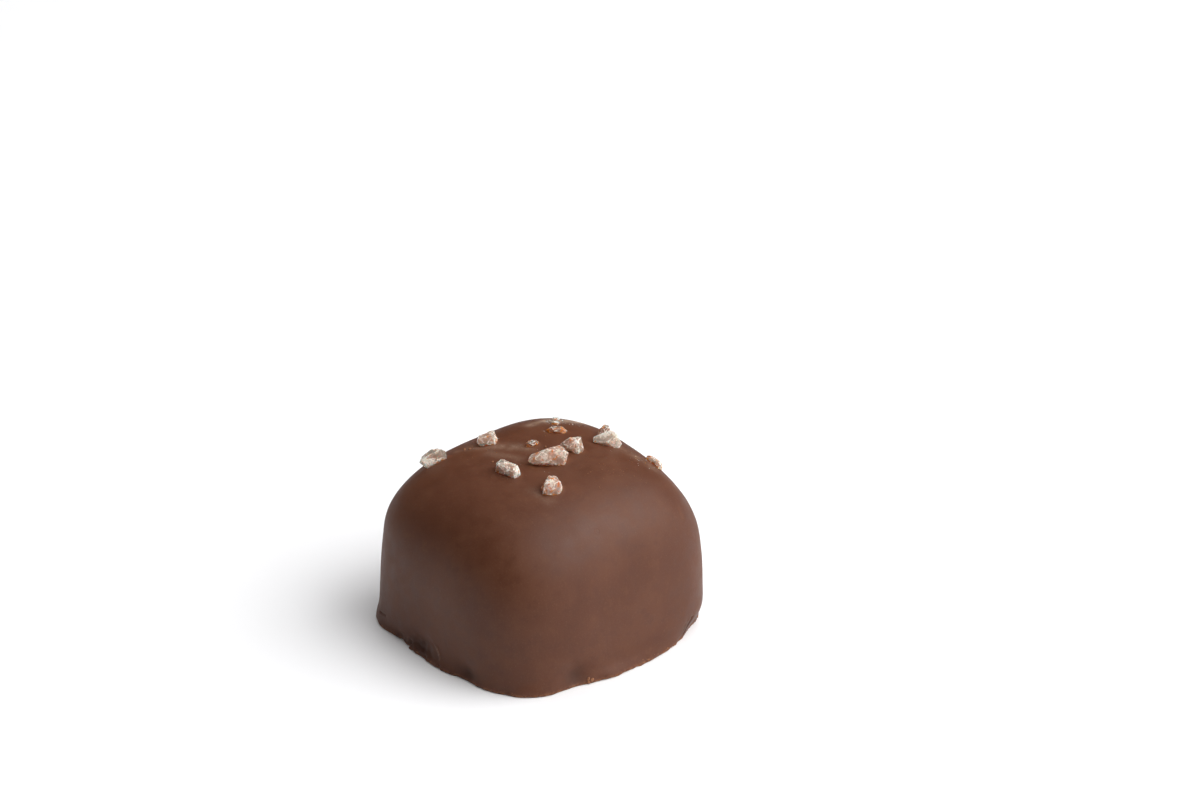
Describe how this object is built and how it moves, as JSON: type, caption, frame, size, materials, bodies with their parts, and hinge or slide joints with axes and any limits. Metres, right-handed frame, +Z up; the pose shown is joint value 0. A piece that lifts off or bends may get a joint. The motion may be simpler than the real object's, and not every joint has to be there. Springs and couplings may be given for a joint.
{
  "type": "chocolate-coated salted caramel candy",
  "caption": "Soft-cornered square candy, chocolate-coated all round, with a rounded crown and coarse salt crystals set in the top.",
  "frame": {"origin": "on the surface the candy stands on, under the middle of its square", "axes": "+Z up, +X and +Y square to the upright sides; the corner between +X and -Y faces the picture's camera"},
  "size_m": [0.0295, 0.0305, 0.0204],
  "materials": {
    "chocolate": "satin milk-dark chocolate coating, softly reflective, with a faint bloom",
    "salt": "translucent off-white to pink rock salt with rust-coloured stains",
    "crumb": "dry chocolate crumbs and fine salt dust"
  },
  "bodies": {
    "root": {"candy": "chocolate"}
  },
  "joints": []
}
